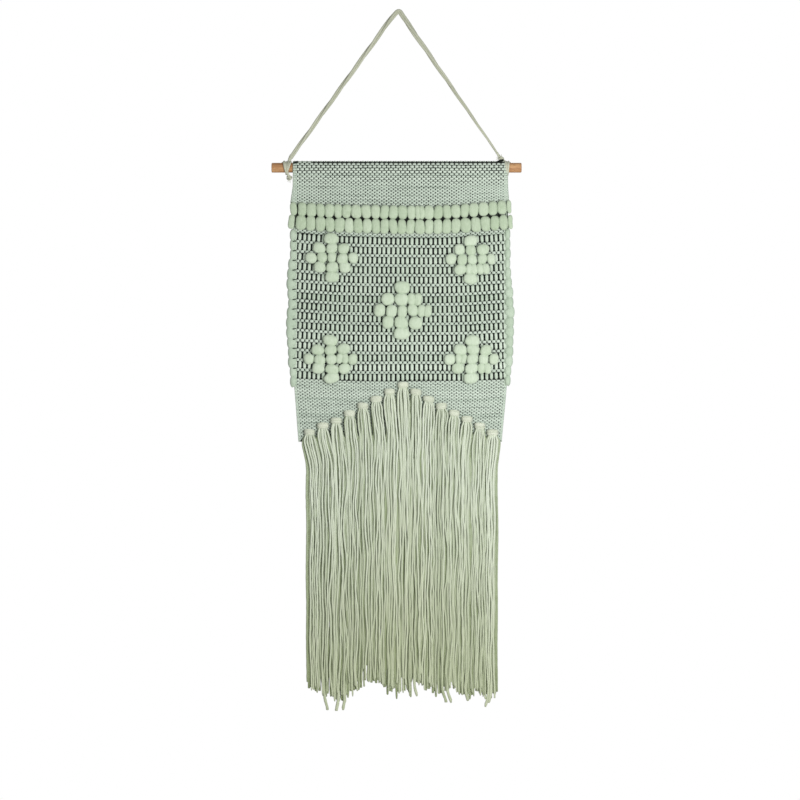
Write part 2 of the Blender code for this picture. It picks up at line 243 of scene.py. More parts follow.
def sanded_wood():
    """Sanded, unfinished hardwood: straight grain along the dowel, with short dark pores and no gloss."""
    made, tree, shader = new_material("sanded_dowel_wood")
    solid = add(tree, "TexCoord").outputs["Object"]
    lines = (repeats(71.0), repeats(2.4), repeats(2.4))
    stretched = add(tree, "Mapping", {"Vector": solid, "Scale": lines}).outputs[0]
    grain = add(
        tree, "TexNoise", {"Vector": stretched, "Scale": 1.0, "Detail": 5.0, "Distortion": 0.8}
    ).outputs["Fac"]
    specks = (repeats(9.1), repeats(0.42), repeats(0.42))
    pore_place = add(tree, "Mapping", {"Vector": solid, "Scale": specks}).outputs[0]
    pores = add(tree, "TexNoise", {"Vector": pore_place, "Scale": 1.0, "Detail": 2.0}).outputs["Fac"]
    sharp = add(tree, "MapRange", {"Value": grain, "From Min": 0.32, "From Max": 0.68}).outputs[0]
    colour = add(
        tree, "Mix", {0: sharp, 6: linear("#a9764a"), 7: linear("#d3a878")}, data_type="RGBA"
    ).outputs[2]
    dots = add(tree, "MapRange", {"Value": pores, "From Min": 0.36, "From Max": 0.46}).outputs[0]
    pored = add(tree, "Mix", {0: dots, 6: linear("#8d5f3a"), 7: colour}, data_type="RGBA").outputs[2]
    height = add(tree, "Math", {0: sharp, 1: dots}, operation="ADD").outputs[0]
    bump = add(tree, "Bump", {"Height": height, "Strength": 0.35, "Distance": 0.0002}).outputs[0]
    tree.links.new(pored, shader.inputs["Base Color"])
    tree.links.new(bump, shader.inputs["Normal"])
    shader.inputs["Roughness"].default_value = 0.62
    return made


def pale_floor():
    """Painted plaster floor, almost even, with a faint mottle."""
    made, tree, shader = new_material("pale_painted_floor")
    solid = add(tree, "TexCoord").outputs["Object"]
    mottle = add(tree, "TexNoise", {"Vector": solid, "Scale": repeats(333.0), "Detail": 5.0}).outputs["Fac"]
    colour = add(
        tree, "Mix", {0: mottle, 6: linear("#e3e2de"), 7: linear("#efeeea")}, data_type="RGBA"
    ).outputs[2]
    tree.links.new(colour, shader.inputs["Base Color"])
    shader.inputs["Roughness"].default_value = 0.8
    return made


def core_shade_material():
    """A dark sheet in the heart of the cloth, where the black warp lies too close for light to pass: its
    colour is painted shade for the gaps between the yarns, near the black warp's own.
    """
    made, tree, shader = new_material("dark_core_painted_shade")
    solid = add(tree, "TexCoord").outputs["Object"]
    threads = (repeats(1.11), repeats(1.11), repeats(6.25))
    stretched = add(tree, "Mapping", {"Vector": solid, "Scale": threads}).outputs[0]
    fibres = add(tree, "TexNoise", {"Vector": stretched, "Scale": 1.0, "Detail": 3.0}).outputs["Fac"]
    # Both greens are painted shade, dark like the black warp, for what shows between the yarns
    colour = add(
        tree, "Mix", {0: fibres, 6: linear("#161c17"), 7: linear("#3a443b")}, data_type="RGBA"
    ).outputs[2]
    tree.links.new(colour, shader.inputs["Base Color"])
    shader.inputs["Roughness"].default_value = 0.95
    return made


# Cotton and wool are matt: loose fibre ends scatter light, so a yarn shows its colour and twist but no gloss.
# The warp is a tight two-ply, the tassels and knots a soft three-ply, and the cord a slack one.
BLACK_WARP = spun_yarn("black_cotton_warp", "#171e19", "#060807", 2, 0.0032, 0.6, 0.3, sheen=0.04)
PALE_WARP = spun_yarn("pale_cotton_warp", "#c3cfc0", "#98a796", 2, 0.0032, 0.6, 0.3)
WEFT = spun_yarn("sage_cotton_weft", "#d6e1d4", "#aebdae", 2, 0.0035, 0.45, 0.35)
THICK_WEFT = spun_yarn("sage_thick_weft", "#d3dfd0", "#abbba8", 3, 0.02, 0.2, 0.5, 0.0005)
ROVING = carded_roving("sage_wool_roving", "#c8d5bf", "#9bae8f")
# a lighter copy of the rows' roving: painted light, as the diamonds stand further out than the rows
DIAMOND_ROVING = carded_roving("sage_diamond_roving", "#d2decb", "#a6b89b")
EDGE_ROVING = carded_roving("sage_edge_roving", "#c6d4c2", "#9db099")
# its foot colour is painted shade on the lower fringe
TASSEL_YARN = spun_yarn("sage_tassel_cotton", "#d9e0d0", "#84936a", 3, 0.009, 0.3, 0.35, foot="#ebebdc")
KNOT_YARN = spun_yarn("sage_knot_cotton", "#dfe3d4", "#b7c0a8", 3, 0.009, 0.4, 0.4)
CORD_YARN = spun_yarn("sage_cord_cotton", "#c9cbb8", "#a3a791", 3, 0.05, 0.2, 0.4, 0.0003)
THREAD = spun_yarn("dark_sewing_thread", "#8d9a88", "#5d6a5a", 2, 0.002, 0.6, 0.2)
WOOD = sanded_wood()
# a dark sheet coloured as painted shade between the yarns
CORE_SHADE = core_shade_material()


# ---------------------------------------------------------------- yarn builder

def unit(vectors):
    """The same directions at length one."""
    return vectors / np.linalg.norm(vectors, axis=-1, keepdims=True)


def smooth_step(values):
    """From 0 to 1 with a soft start and a soft end."""
    held = np.clip(values, 0.0, 1.0)
    return held * held * (3 - 2 * held)


def ripple(place, pace):
    """A wave along place that starts anywhere. pace is how many radians it turns in a metre."""
    return np.sin(pace * place + rng.uniform(0, TURN))


def distances(points):
    """How far along its path each point lies."""
    return np.concatenate([[0.0], np.cumsum(np.linalg.norm(np.diff(points, axis=0), axis=1))])


def through(points, steps):
    """A smooth curve through points, as Catmull and Rom draw it."""
    route = np.array(points, float)
    ends = np.vstack([2 * route[0] - route[1], route, 2 * route[-1] - route[-2]])
    a, b, c, d = ends[:-3, None], ends[1:-2, None], ends[2:-1, None], ends[3:, None]
    t = (np.arange(steps) / steps)[None, :, None]
    curve = 0.5 * (2 * b + (c - a) * t + (2 * a - 5 * b + 4 * c - d) * t**2 + (3 * b - a - 3 * c + d) * t**3)
    return np.vstack([curve.reshape(-1, 3), route[-1:]])


class Yarns:
    """Yarns gathered for one mesh: rings of points joined by four-sided faces, with closed ends."""

    def __init__(self, sides):
        self.sides = sides
        self.rings, self.faces, self.ends, self.maps, self.tones = [], [], [], [], []
        self.count = 0

    def lay(self, path, up, half_wide, half_deep, tone, boxy=1.0):
        """One yarn along path. up is the way its thickness lies, and a boxy below 1 squares its section."""
        path = np.asarray(path, float)
        number, sides = len(path), self.sides
        run = unit(np.gradient(path, axis=0))
        across = unit(np.cross(run, np.broadcast_to(up, path.shape)))
        over = np.cross(across, run)
        angle = TURN * np.arange(sides) / sides
        c, s = np.cos(angle), np.sin(angle)
        c, s = np.sign(c) * abs(c) ** boxy, np.sign(s) * abs(s) ** boxy
        wide = np.broadcast_to(half_wide, number)[:, None, None] * c[None, :, None]
        deep = np.broadcast_to(half_deep, number)[:, None, None] * s[None, :, None]
        ring = path[:, None] + wide * across[:, None] + deep * over[:, None]
        row = np.arange(number - 1)[:, None] * sides
        j = np.arange(sides)[None]
        k = (j + 1) % sides
        quads = np.stack([row + j, row + sides + j, row + sides + k, row + k], axis=-1)
        length = distances(path)
        v0, v1 = np.broadcast_arrays(length[:-1, None], length[1:, None])
        u0, u1 = j / sides + 0 * row, (j + 1) / sides + 0 * row
        v0, v1 = v0 + 0 * u0, v1 + 0 * u0
        maps = np.stack([u0, v0, u0, v1, u1, v1, u1, v0], axis=-1)
        last = (number - 1) * sides
        self.rings.append(ring.reshape(-1, 3))
        self.faces.append(self.count + quads.reshape(-1, 4))
        self.ends.append(self.count + np.stack([np.arange(sides), last + np.arange(sides)[::-1]]))
        self.maps.append(maps.reshape(-1, 2))
        self.tones.append(np.full(number * sides, tone))
        self.count += number * sides

    def finish(self, name, material, body):
        """The yarns as one smooth object that rides on body, or on none where body is None."""
        quads, ends = np.concatenate(self.faces), np.concatenate(self.ends)
        corners = np.concatenate([quads.ravel(), ends.ravel()]).astype(np.int32)
        starts = np.concatenate([
            np.arange(len(quads)) * 4, 4 * len(quads) + np.arange(len(ends)) * self.sides
        ])
        maps = np.concatenate([*self.maps, np.zeros((ends.size, 2))]).astype(np.float32)
        points = np.concatenate(self.rings).astype(np.float32)
        mesh = bpy.data.meshes.new(name)
        mesh.vertices.add(len(points))
        mesh.vertices.foreach_set("co", points.ravel())
        mesh.loops.add(len(corners))
        mesh.loops.foreach_set("vertex_index", corners)
        mesh.polygons.add(len(starts))
        mesh.polygons.foreach_set("loop_start", starts.astype(np.int32))
        mesh.uv_layers.new(name="yarn").uv.foreach_set("vector", maps.ravel())
        tones = mesh.attributes.new("tone", "FLOAT", "POINT")
        tones.data.foreach_set("value", np.concatenate(self.tones).astype(np.float32))
        mesh.update(calc_edges=True)
        mesh.shade_smooth()
        mesh.materials.append(material)
        obj = bpy.data.objects.new(name, mesh)
        bpy.context.scene.collection.objects.link(obj)
        if body:
            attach(obj, body)
        return obj


def tone():
    """How light one yarn is, from 0 to 1."""
    return float(np.clip(rng.normal(0.5, 0.17), 0.0, 1.0))


# ---------------------------------------------------------------- the sheet

def sheet_route():
    """Points (y, z) up the front, round the dowel and down the back, close together."""
    seam = Vector((CLOTH_Y, SEAM_Z - DOWEL_Z))
    back_seam = Vector((BACK_LAYER_Y, SEAM_Z - DOWEL_Z))

    def leaves(point, side):
        """The angle at which a straight sheet from point meets the dowel's round."""
        return math.atan2(point.y, point.x) + side * math.acos(SLEEVE_RADIUS / point.length)

    start = leaves(seam, -1) % (TURN)
    stop = leaves(back_seam, 1)
    turns = np.linspace(start, stop, 60)
    around = np.stack([SLEEVE_RADIUS * np.cos(turns), DOWEL_Z + SLEEVE_RADIUS * np.sin(turns)], axis=1)
    front = [(CLOTH_Y, z) for z in np.linspace(CLOTH_END, SEAM_Z, 90)]
    back = [(BACK_LAYER_Y, SEAM_Z), (BACK_LAYER_Y, SEAM_Z - TURN_OVER)]
    corners = np.vstack([front, around, back])
    length = distances(corners)
    even = np.linspace(0.0, length[-1], 900)
    return even, np.interp(even, length, corners[:, 0]), np.interp(even, length, corners[:, 1])


SHEET_S, SHEET_Y, SHEET_Z = sheet_route()
SHEET_LENGTH = SHEET_S[-1]
SHEET_RUN = unit(np.stack([np.gradient(SHEET_Y), np.gradient(SHEET_Z)], axis=1))
BODY_END_S, BODY_TOP_S, ROW_TOP_S = BODY_END - CLOTH_END, BODY_TOP - CLOTH_END, ROW_TOP - CLOTH_END
SEAM_S = SEAM_Z - CLOTH_END
BACK_SEAM_S = SHEET_LENGTH - TURN_OVER
SHEET_PEAK = int(np.argmax(SHEET_Z))
FOLD_S = float(np.interp(DOWEL_Z + 0.0066, SHEET_Z[:SHEET_PEAK], SHEET_S[:SHEET_PEAK]))
FOLD_BARE_FROM = -0.1150  # to the right of this a pick is missing on the fold, and bare warp shows


def outward(s):
    """The direction away from the sheet's outer face, at s."""
    run_y, run_z = np.interp(s, SHEET_S, SHEET_RUN[:, 0]), np.interp(s, SHEET_S, SHEET_RUN[:, 1])
    return unit(np.stack([0 * run_y, -run_z, run_y], axis=-1))


def on_sheet(x, s, out):
    """The points at these places on the cloth."""
    middle = np.stack([x + 0 * s, np.interp(s, SHEET_S, SHEET_Y), np.interp(s, SHEET_S, SHEET_Z)], axis=-1)
    return middle + np.asarray(out)[..., None] * outward(s)


def sheet_edges(s):
    """The sheet's left and right edge at s. Roving covers the narrow stretch."""
    heights = [0.0, BODY_END_S, BODY_END_S + 0.003, BODY_TOP_S, ROW_TOP_S, SEAM_S, SHEET_LENGTH]
    left = np.interp(s, heights, [-0.1326, -0.1385, -0.1395, -0.1395, -0.1435, -0.1400, -0.1390])
    right = np.interp(s, heights, [0.1326, 0.1400, 0.1400, 0.1400, 0.1425, 0.1410, 0.1390])
    return left, right


def bow(x, s):
    """How far the weft is lifted at x: its middle sags, most in the patterned body."""
    heights = [0.0, BODY_END_S, BODY_TOP_S, ROW_TOP_S, SEAM_S, SEAM_S + 0.02]
    left = np.interp(s, heights, [0.0010, 0.0035, 0.0070, 0.0040, 0.0012, 0.0])
    right = np.interp(s, heights, [0.0010, 0.0030, 0.0050, 0.0070, 0.0012, 0.0])
    sag = np.interp(s, heights, [0.0, 0.0006, 0.0014, 0.0010, 0.0, 0.0])
    rise = np.where(x < 0, left * (np.abs(x) / 0.134) ** 1.7, right * (np.abs(x) / 0.136) ** 2.1)
    ripple = 0.0004 * np.sin(41 * x + 9 * s) * np.clip(s / 0.05, 0, 1) * (s < SEAM_S)
    return rise - sag + ripple


def plan_picks():
    """Every weft yarn from the lower end up: (s, half height, half thickness, rise over a warp, kind)."""
    picks = []
    row_zs = BODY_TOP - FIRST_ROW_DROP - ROW_PITCH * np.arange(ROWS)
    foot = row_zs[-1] - ROW_PITCH / 2
    count = int((foot - CLOTH_END - 0.0012) / PLAIN_PITCH)
    for z in foot - PLAIN_PITCH * np.arange(count, -1, -1):
        picks.append((z - CLOTH_END, *WEFT_SIZES["lower"], "lower"))
    for row, z in enumerate(row_zs[::-1]):
        picks.append((z - CLOTH_END, *WEFT_SIZES["thick"], "thick"))
        if row < ROWS - 1:
            picks.append((z + ROW_PITCH / 2 - CLOTH_END, *WEFT_SIZES["thin"], "thin"))
    s = row_zs[0] - CLOTH_END + 0.0063
    while s < ROW_TOP_S - 0.0036:
        if s < BODY_TOP_S + 0.0026:  # above this the two rows of roving are the weft
            picks.append((s, *WEFT_SIZES["upper"], "upper"))
        s += UPPER_PITCH
    while s < BACK_SEAM_S + TURN_OVER - 0.001:
        near = np.clip((s - SEAM_S) / 0.022, 0, 1)  # looser towards the sleeve
        half_tall, kind = 0.00122 + 0.00034 * near, "upper" if s < SEAM_S else "sleeve"
        picks.append((s, half_tall, *WEFT_SIZES["upper"][1:], kind))
        s += 0.0021 + 0.0014 * near
    sleeve = [number for number, pick in enumerate(picks) if pick[4] == "sleeve"]
    fold = min(sleeve, key=lambda number: abs(picks[number][0] - FOLD_S))
    picks[fold] = (*picks[fold][:4], "fold")
    return picks


PICKS = plan_picks()


def crossings():
    """(x, s) where each weft yarn meets each warp yarn, as two arrays of picks by warps."""
    xs, ss = [], []
    for s0, *_ in PICKS:
        left, right = sheet_edges(s0)
        black = np.linspace(max(WARP_FROM, left + 0.0042), min(WARP_TO, right - 0.0036), WARPS)
        black = black + 0.00025 * np.sin(70 * s0 + 0.9 * np.arange(WARPS)) * np.sin(23 * s0 + 40 * black)
        margin = np.arange(1, EDGE_WARPS + 1) / (EDGE_WARPS + 0.35)
        lower, upper = black[0] + (left - black[0]) * margin, black[-1] + (right - black[-1]) * margin
        x = np.concatenate([lower[::-1], black, upper])
        own = 0.00014 * ripple(x, rng.uniform(30, 90))
        xs.append(x)
        ss.append(np.clip(s0 + bow(x, s0) + own, 0.0004, SHEET_LENGTH - 0.0004))
    return np.array(xs), np.array(ss)


CROSS_X, CROSS_S = crossings()
# 1 where the weft passes in front of the warp, and -1 where it passes behind
OVER = 1 - (np.add.outer(np.arange(len(PICKS)), np.arange(CROSS_X.shape[1])) % 2) * 2


def thirds(values):
    """Two more values between each neighbouring pair."""
    step = np.diff(values)[:, None] * np.array([0.0, 1 / 3, 2 / 3])
    return np.append((values[:-1, None] + step).ravel(), values[-1])


def weft(name, kinds, material):
    """The weft yarns of these kinds, waving over and under the warp from edge to edge."""
    yarns = Yarns(6)
    for number, (_, half_tall, half_deep, rise, kind) in enumerate(PICKS):
        if kind not in kinds:
            continue
        x, s = thirds(CROSS_X[number]), thirds(CROSS_S[number])
        if kind == "fold":
            x, s = x[x < FOLD_BARE_FROM], s[x < FOLD_BARE_FROM]
        wave = OVER[number][0] * np.cos(math.pi * np.arange(len(x)) / 3)
        uneven = 1 + 0.07 * ripple(x, rng.uniform(50, 160)) + rng.normal(0, 0.05, len(x))
        swell = 1 + (0.07 if kind == "thick" else 0.12) * wave
        tips = np.ones(len(x))
        tips[[0, -1]], tips[[1, -2]] = 0.55, 0.9
        tall = half_tall * uneven * swell * tips
        yarns.lay(on_sheet(x, s, rise * wave), outward(s), tall, half_deep * tips, tone())
    return yarns.finish(name, material, "panel")


def warp(name, first, last, material):
    """Warp yarns first to last, each passing over what passes under its neighbours."""
    yarns = Yarns(6)
    half_wide, lift, reach, ease = np.array([WARP_CROSSINGS[pick[4]] for pick in PICKS]).T
    reach = reach * np.array([pick[1] for pick in PICKS])
    share = np.array([-1.0, 0.0, 1.0])
    for number in range(first, last):
        over = -OVER[:, number] * lift
        s = (CROSS_S[:, number, None] + reach[:, None] * share).ravel()
        out = (over[:, None] * np.stack([ease, 0 * ease + 1, ease], axis=1)).ravel()
        x = np.interp(s, CROSS_S[:, number], CROSS_X[:, number])
        s, x, out, wide = (
            np.concatenate([[at_foot], values, [at_top]]) for at_foot, values, at_top in (
                (0.0, s, SHEET_LENGTH), (x[0], x, x[-1]), (0.0, out, 0.0),
                (half_wide[0], np.repeat(half_wide, 3), half_wide[-1]),
            )
        )
        order = np.argsort(s, kind="stable")
        s, x, out, wide = s[order], x[order], out[order], wide[order]
        uneven = 1 + 0.10 * ripple(s, rng.uniform(60, 200)) + rng.normal(0, 0.05, len(s))
        yarns.lay(on_sheet(x, s, out), outward(s), wide * uneven, WARP_HALF_DEEP, tone())
    return yarns.finish(name, material, "panel")


def cloth_core():
    """The sheet's dark heart, which stops light between the yarns and shows painted shade in the gaps, and
    its area laid flat.
    """
    s = np.linspace(0.0004, SHEET_LENGTH - 0.0004, 420)
    left, right = sheet_edges(s)
    left, right = left + 0.0012, right - 0.0012
    columns = 40
    share = np.linspace(0.0, 1.0, columns + 1)
    x = left[:, None] + (right - left)[:, None] * share
    wide_s = s[:, None] + 0 * x
    layers = [on_sheet(x, wide_s, out + 0 * x).reshape(-1, 3) for out in (CORE_HALF, -CORE_HALF)]
    rows, per_row = len(s), columns + 1
    i, j = np.meshgrid(np.arange(rows - 1), np.arange(columns), indexing="ij")
    first = (i * per_row + j).ravel()
    outer = np.stack([first, first + 1, first + per_row + 1, first + per_row], axis=1)
    below = rows * per_row
    inner = outer[:, ::-1] + below
    rim = np.concatenate([
        np.arange(per_row), np.arange(1, rows) * per_row + columns,
        (rows - 1) * per_row + np.arange(columns)[::-1], np.arange(1, rows - 1)[::-1] * per_row,
    ])
    following = np.roll(rim, -1)
    wall = np.stack([rim, rim + below, following + below, following], axis=1)
    mesh = bpy.data.meshes.new("cloth_core")
    mesh.from_pydata(np.vstack(layers).tolist(), [], np.vstack([outer, inner, wall]).tolist())
    mesh.update()
    mesh.shade_smooth()
    mesh.materials.append(CORE_SHADE)
    obj = bpy.data.objects.new("cloth_core", mesh)
    bpy.context.scene.collection.objects.link(obj)
    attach(obj, "panel")
    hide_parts("cloth")
    return obj, float(np.trapz(right - left, s))


# ---------------------------------------------------------------- roving

ROW_STAND, BUMP_STAND, DIAMOND_STAND = 0.0082, 0.0056, 0.0088  # how far loops stand out from the cloth
ROW_LOOPS = 23


def uneven_edges(left, whole, number, spread):
    """The edges of loops that stand side by side, no two quite as wide."""
    widths = rng.uniform(1 - spread, 1 + spread, number)
    return left + whole * np.concatenate([[0.0], np.cumsum(widths)]) / widths.sum()


def pad_profile(points, square, tip):
    """How far along a soft pad its rings lie, and how thick each is. square fills out both ends."""
    t = 0.5 - 0.5 * np.cos(np.linspace(0.0, math.pi, points))
    shape = np.maximum(1 - np.abs(2 * t - 1) ** (2.8 + 2.2 * square), 0.0) ** (1 / (2.3 + 1.1 * square))
    shape[[0, -1]] = tip
    return t, shape


def roving_loop(yarns, x, z, wide, tall, stand, lean=0.0, strands=1, square=1.0):
    """One loop of roving: a soft upright pad of one or two strands, tucked into the cloth at both ends."""
    t, shape = pad_profile(17, square, tip=0.25)
    for strand in range(strands):
        offset = (strand - (strands - 1) / 2) * wide / strands
        part_wide = wide / strands * (1.0 if strands == 1 else 1.34)
        slant = lean + rng.normal(0, 0.03)
        path_x = x + offset + slant * (t - 0.5) * tall + 0.0003 * ripple(t, TURN)
        path_z = z + tall * (0.5 - t)
        depth = stand * rng.uniform(0.90, 1.04)
        path_y = CLOTH_FRONT + 0.0004 - depth * 0.5 * (0.45 + 0.55 * shape) + rng.normal(0, 0.0002)
        half_wide = part_wide / 2 * shape * (1 + 0.05 * ripple(t, 5))
        route = np.stack([path_x, path_y, path_z], axis=1)
        yarns.lay(route, (0.0, -1.0, 0.0), half_wide, depth / 2 * shape, tone(), boxy=0.84 - 0.18 * square)


def back_pass(yarns, from_x, to_x, z, tall):
    """Roving that runs across behind the warp, from one loop to the next."""
    x = np.linspace(from_x + 0.002, to_x - 0.002, max(int((to_x - from_x) / 0.004), 6))
    wave = ripple(x, TURN / 0.0121)
    ends = np.sqrt(np.clip(np.minimum(x - from_x, to_x - x) / 0.006, 0.05, 1.0))
    height = z + bow(x, z - CLOTH_END) + 0.0003 * wave
    route = np.stack([x, CLOTH_Y + 0.0020 + 0.0004 * wave, height], axis=1)
    yarns.lay(route, (0.0, 1.0, 0.0), tall / 2 * ends * (1 + 0.06 * wave), 0.0016 * ends, tone(), boxy=0.85)


def roving_row(name, left, right, top, tall, bumps):
    """A row of upright loops that follows the weft's bow, with a smaller bump where it turns at each edge."""
    yarns = Yarns(16)
    edges = uneven_edges(left, right - left, ROW_LOOPS, 0.12)
    spans = list(zip(edges[:-1], edges[1:], [ROW_STAND] * ROW_LOOPS))
    spans += [(bumps[0], left - 0.0014, BUMP_STAND), (right + 0.0004, bumps[1], BUMP_STAND)]
    for from_x, to_x, stand in spans:
        x = (from_x + to_x) / 2
        z = top - tall / 2 + float(bow(x, top - tall / 2 - CLOTH_END))
        strands = int(rng.choice([1, 2], p=[0.94, 0.06])) if stand == ROW_STAND else 1
        wide, own_tall, lean = (to_x - from_x) * 1.02, tall * rng.uniform(0.98, 1.02), rng.normal(0, 0.03)
        roving_loop(yarns, x, z, wide, own_tall, stand, lean, strands, square=0.8)
    for share in (0.27, 0.75):
        back_pass(yarns, bumps[0] + 0.001, bumps[1] - 0.001, top - tall * share, tall * 0.46)
    obj = yarns.finish(f"{name}_loops", ROVING, "panel")
    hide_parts(name)
    return obj


def selvedge(name, side, inner, top, reaches):
    """Roving that turns round one edge of the patterned body, a swelling for each thick row.

    reaches gives how far out the edge stands at even heights from top down.
    """
    yarns = Yarns(16)
    for row in range(ROWS + 1):
        z = top - (row + 0.5) * ROW_PITCH
        if z < BODY_END - 0.002:
            continue
        outer = float(np.interp(row / ROWS, np.linspace(0, 1, len(reaches)), reaches))
        reach = outer + rng.normal(0, 0.0003) - inner
        t, shape = pad_profile(15, square=0.0, tip=0.3)
        half_wide = reach / 2 * (0.5 + 0.5 * shape)
        path_z = z + ROW_PITCH * rng.uniform(0.98, 1.06) * (0.5 - t)
        route = np.stack([side * (inner + half_wide), CLOTH_Y - 0.0004 + 0 * t, path_z], axis=1)
        yarns.lay(route, (0.0, -1.0, 0.0), half_wide, 0.0046 * shape, tone(), boxy=0.82)
    obj = yarns.finish(f"{name}_turns", EDGE_ROVING, "panel")
    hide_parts(name)
    return obj


def edge_ties():
    """Short black warp ends that show beside the left edge, and at the sleeve's two upper corners."""
    yarns = Yarns(8)
    for row in range(ROWS - 1):
        z = BODY_TOP - FIRST_ROW_DROP - (row + 0.5) * ROW_PITCH + 0.0056 + rng.normal(0, 0.0003)
        x = np.linspace(-0.1394, -0.1352, 5) + rng.normal(0, 0.0002)
        y = CLOTH_FRONT - 0.0024 - 0.0006 * np.sin(np.linspace(0, math.pi, 5))
        route = np.stack([x, y, z + 0.0003 * np.linspace(-1, 1, 5)], axis=1)
        yarns.lay(route, (0, -1, 0), 0.0006, 0.0005, tone())
    corners = ((-0.1388, -0.1330, 0.0064, 0.0012), (0.1268, 0.1350, 0.0086, 0.0013))
    for from_x, to_x, rise, half_tall in corners:
        x = np.linspace(from_x, to_x, 7)
        y = 0 * x - math.sqrt((SLEEVE_RADIUS + 0.0018) ** 2 - rise**2)
        z = DOWEL_Z + rise + 0.0012 * np.linspace(-1, 1, 7)
        yarns.lay(np.stack([x, y, z], axis=1), (0, -1, 0), half_tall, 0.0010, tone())
    return yarns.finish("black_edge_ties", BLACK_WARP, "panel")


def diamond(place):
    """Rows of one, three, five, three and one loops, packed close."""
    name = f"diamond_{place}"
    low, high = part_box(name)
    middle_x, middle_z = (low.x + high.x) / 2, (low.z + high.z) / 2
    tall = (high.z - low.z) / 5
    wide = (high.x - low.x) / 5
    yarns = Yarns(16)
    swell = {1: 1.42, 3: 1.17, 5: 1.0}  # loops spread where fewer share a row
    for row, loops in enumerate((1, 3, 5, 3, 1)):
        whole = loops * wide * swell[loops]
        edges = uneven_edges(middle_x - whole / 2, whole, loops, 0.13)
        edges = edges + rng.normal(0, 0.0006)
        row_z = middle_z + (2 - row) * tall
        for index in range(loops):
            x, loop_wide = (edges[index] + edges[index + 1]) / 2, edges[index + 1] - edges[index]
            strands = int(rng.choice([1, 2], p=[0.85, 0.15])) if loops > 1 else 1
            z, own_tall = row_z + rng.normal(0, 0.0005), tall * rng.uniform(0.95, 1.01)
            lean = rng.normal(0, 0.05)
            roving_loop(yarns, x, z, loop_wide * 0.97, own_tall, DIAMOND_STAND, lean, strands, square=0.15)
        back_pass(yarns, edges[0], edges[-1], row_z, tall * 0.9)
    obj = yarns.finish(f"{name}_loops", DIAMOND_ROVING, "panel")
    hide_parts(name)
    return obj


# ---------------------------------------------------------------- tassels

# how light is painted shade: the deeper layers are made darker and more olive, as if in the shade of the
# front strands
STRAND_LAYERS = (  # place in y, strands, radius, how light, how far they spread
    (-0.0092, 5, 0.00120, 0.88, 0.0068),
    (-0.0071, 6, 0.00120, 0.50, 0.0080),
    (-0.0052, 10, 0.00165, 0.15, 0.0102),
)
HANK_FOOT = (  # height at which each hank's strands end
    -0.879, -0.887, -0.893, -0.881, -0.871, -0.872, -0.881, -0.885, -0.872, -0.879, -0.887, -0.879, -0.886,
    -0.885, -0.889,
)
KNOT_LOWER = (  # how far each knot hangs below its packed head
    0.0, 0.0004, 0.0030, 0.0022, 0.0014, 0.0016, 0.0010, 0.0010, 0.0012, 0.0016, 0.0018, 0.0020, 0.0010,
    0.0008, 0.0008,
)
STRAYS = {  # hank: for each stray strand, how far across the hank it leaves, and where it ends
    2: ((-0.7, -0.9079),), 3: ((-0.1, -0.9090), (0.9, -0.9080)), 9: ((-0.6, -0.8900),),
    11: ((0.0, -0.8980),), 12: ((-0.9, -0.8985),), 13: ((0.5, -0.8960),),
    15: ((-0.7, -0.9040), (0.6, -0.8985)),
}
STRAND_STEP = 0.0040  # between the points of one strand
STRAND_KINKS = ((0.020, 0.00015), (0.046, 0.00034), (0.100, 0.00080), (0.220, 0.0012))  # length, height


def knot_x(middle_x):
    """Where a knot stands: to the right of the middle, a little further out than its packed head."""
    return middle_x + 0.010 * max(middle_x, 0.0)


def tassel_knot(number):
    """The bar of a lark's-head knot: strands side by side that cross the front and tuck in at both ends."""
    low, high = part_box(f"tassel_head_{number:02d}")
    middle_x, middle_z = knot_x((low.x + high.x) / 2), (low.z + high.z) / 2 - KNOT_LOWER[number - 1]
    half = (high.x - low.x) / 2 * rng.uniform(1.10, 1.22)
    yarns = Yarns(8)
    t = np.linspace(-1.0, 1.0, 17)
    rows = 5
    tilt = rng.normal(0, 0.05)
    for row in range(rows):
        share = row / (rows - 1) * 2 - 1
        arch = np.sqrt(np.maximum(1 - np.abs(t) ** 2.6, 0.0))
        z = middle_z - share * 0.0024 + tilt * t * half - 0.0007 * share * (1 - t**2)
        z = z + rng.normal(0, 0.0001)
        stand = 0.0074 - 0.0018 * share**2
        y = CLOTH_FRONT + 0.0006 - stand * arch + 0.0002 * ripple(t, 4)
        x = middle_x + t * half * (1 - 0.06 * share**2)
        radius = 0.00105 * (0.55 + 0.45 * arch)
        yarns.lay(np.stack([x, y, z], axis=1), (0.0, 0.0, 1.0), radius * 1.1, radius, tone())
    obj = yarns.finish(f"tassel_knot_{number:02d}", KNOT_YARN, "panel")
    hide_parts(f"tassel_head_{number:02d}")
    return obj


